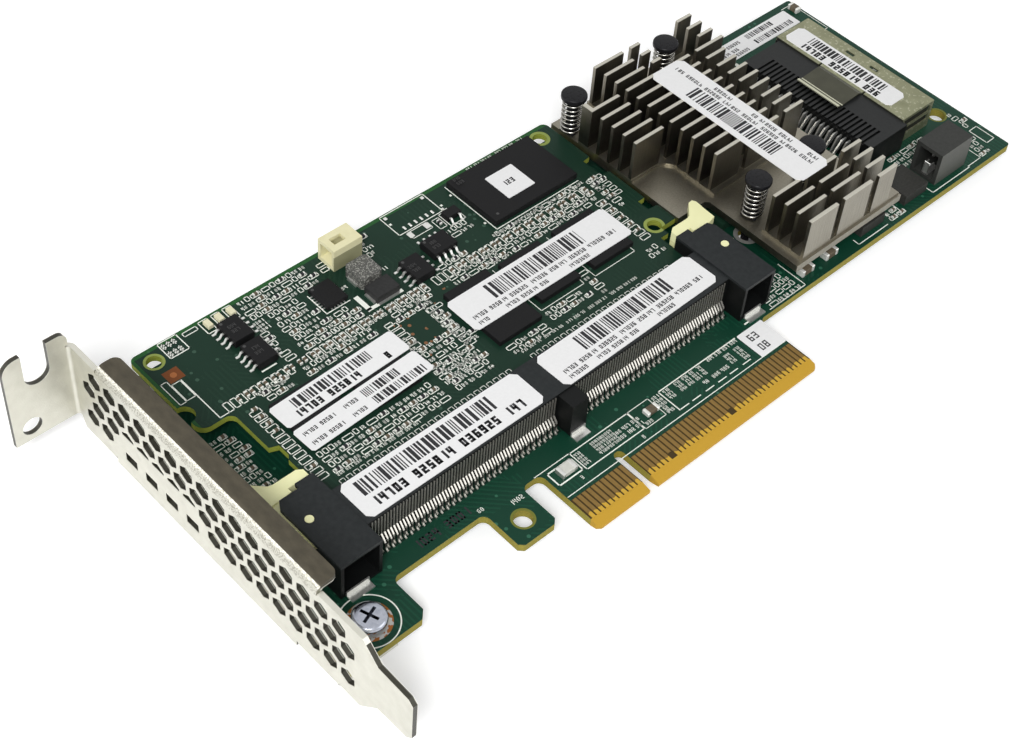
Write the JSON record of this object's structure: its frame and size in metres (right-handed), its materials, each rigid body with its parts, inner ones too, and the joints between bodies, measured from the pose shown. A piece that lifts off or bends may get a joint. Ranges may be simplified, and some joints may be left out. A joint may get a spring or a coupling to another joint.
{
  "type": "raid controller card",
  "caption": "Low-profile bus card with a perforated bracket, a memory module lying in a latched socket, a finned heatsink and an internal cable connector.",
  "frame": {"origin": "centre of the key notch on the lower edge of the contact tongue, in the plane of the board's component side", "axes": "+X along the card from the bracket to its far end, +Y from the contacts to the top edge, +Z out of the component side"},
  "size_m": [0.1808, 0.0795, 0.0235],
  "materials": {
    "board_green": "solder mask, semi-gloss",
    "module_green": "darker solder mask, semi-gloss",
    "gold": "plated, satin",
    "bracket_steel": "plated sheet, satin",
    "screw_steel": "zinc plated",
    "heatsink_metal": "extruded, satin",
    "black_plastic": "moulded",
    "pin_plastic": "moulded",
    "spring_steel": "bright wire",
    "chip_black": "moulded, fine grain",
    "thermal_grey": "soft",
    "cream_plastic": "moulded",
    "lamp_cream": "clear moulded",
    "ferrite": "pressed powder",
    "ceramic_tan": "ceramic with tinned ends",
    "fuse_white": "ceramic with tinned ends",
    "tinned_metal": "tinned",
    "cage_metal": "plated sheet",
    "paper_white": "printed paper"
  },
  "bodies": {
    "card": {"battery_header": "black_plastic", "battery_header_pins": "gold", "board_capacitors": "ceramic_tan", "board_fuse": "fuse_white", "board_inductors": "ferrite", "board_labels": "paper_white", "bracket": "bracket_steel", "bracket_screws": "screw_steel", "cable_cage": "cage_metal", "cable_housing": "black_plastic", "cable_tails": "tinned_metal", "cage_label": "paper_white", "edge_contacts": "gold", "flash_label": "paper_white", "heatsink": "heatsink_metal", "heatsink_label": "paper_white", "main_board": "board_green", "module_board": "module_green", "module_capacitors": "ceramic_tan", "module_choke": "ferrite", "module_flash_chip": "chip_black", "module_header": "cream_plastic", "module_header_pins": "tinned_metal", "module_inductor": "ferrite", "module_labels": "paper_white", "module_lamps": "lamp_cream", "module_memory_chips": "chip_black", "module_power_chip": "chip_black", "module_small_chips": "chip_black", "module_transistor": "chip_black", "push_pin_springs": "spring_steel", "push_pins": "pin_plastic", "raid_processor": "chip_black", "socket_contacts": "tinned_metal", "socket_hold_downs": "tinned_metal", "socket_housing": "black_plastic", "socket_labels": "paper_white", "status_leds": "lamp_cream", "thermal_pad": "thermal_grey"},
    "latch_left": {"left_latch": "cream_plastic"},
    "latch_right": {"right_latch": "cream_plastic"}
  },
  "joints": [
    {"name": "left_latch_hinge", "type": "hinge", "parent": "card", "child": "latch_left", "pos_m": [-0.0481, 0.0248, 0.0044], "axis": [0, 0, 1], "range_deg": [0, 20]},
    {"name": "right_latch_hinge", "type": "hinge", "parent": "card", "child": "latch_right", "pos_m": [0.0415, 0.0248, 0.0044], "axis": [0, 0, 1], "range_deg": [-20, 0]}
  ]
}
